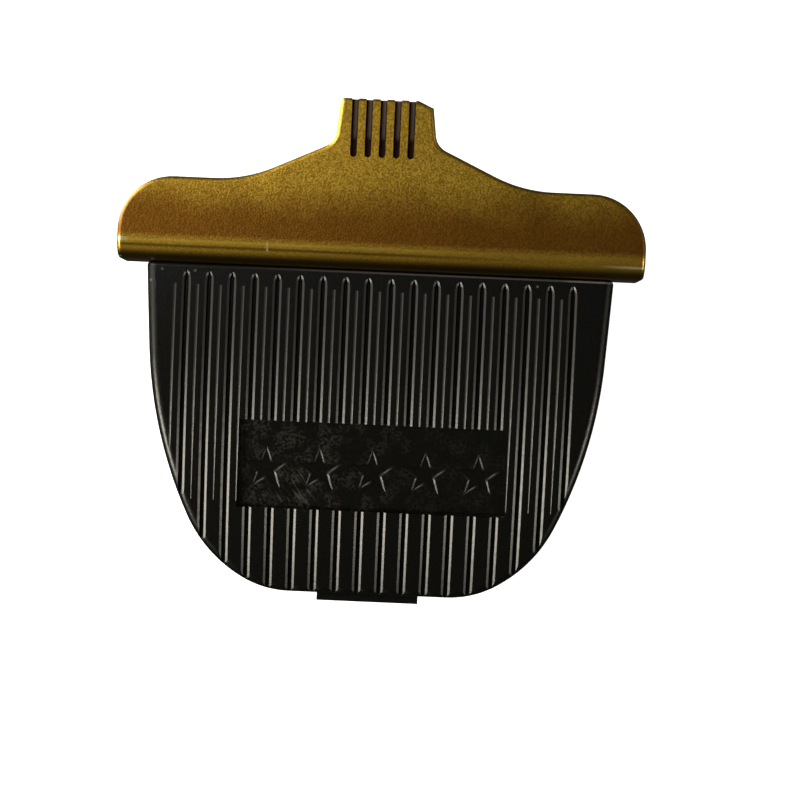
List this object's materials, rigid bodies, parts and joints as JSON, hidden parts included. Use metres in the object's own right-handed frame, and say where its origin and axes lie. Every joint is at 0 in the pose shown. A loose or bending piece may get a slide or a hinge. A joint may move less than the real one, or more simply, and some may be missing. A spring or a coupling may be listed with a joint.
{
  "type": "clipper blade",
  "caption": "Clip-on clipper blade: a folded gold comb blade with a sliding cutter behind it, on a black ribbed base with a hook tab.",
  "frame": {"origin": "under the middle of the box, on the plane of the base's rim", "axes": "+X across the blade, +Y towards the comb's tip, +Z out of the ribbed face"},
  "size_m": [0.0452, 0.0436, 0.011],
  "materials": {
    "base_plastic": "black moulded plastic, semi-gloss, lightly scuffed",
    "gold_coat": "gold hard coating on satin steel sheet",
    "cutter_steel": "ground tool steel",
    "carrier_plastic": "natural moulded plastic",
    "spring_wire": "drawn spring wire",
    "screw_steel": "plated steel"
  },
  "bodies": {
    "base": {"blade_base": "base_plastic", "fixed_blade": "gold_coat", "pressure_spring_left": "spring_wire", "pressure_spring_right": "spring_wire", "blade_screws": "screw_steel"},
    "cutter": {"moving_blade": "cutter_steel", "drive_carrier": "carrier_plastic"}
  },
  "joints": [
    {"name": "cutter_slide", "type": "slide", "parent": "base", "child": "cutter", "axis": [1, 0, 0], "range_m": [-0.00081, 0.00019]}
  ]
}
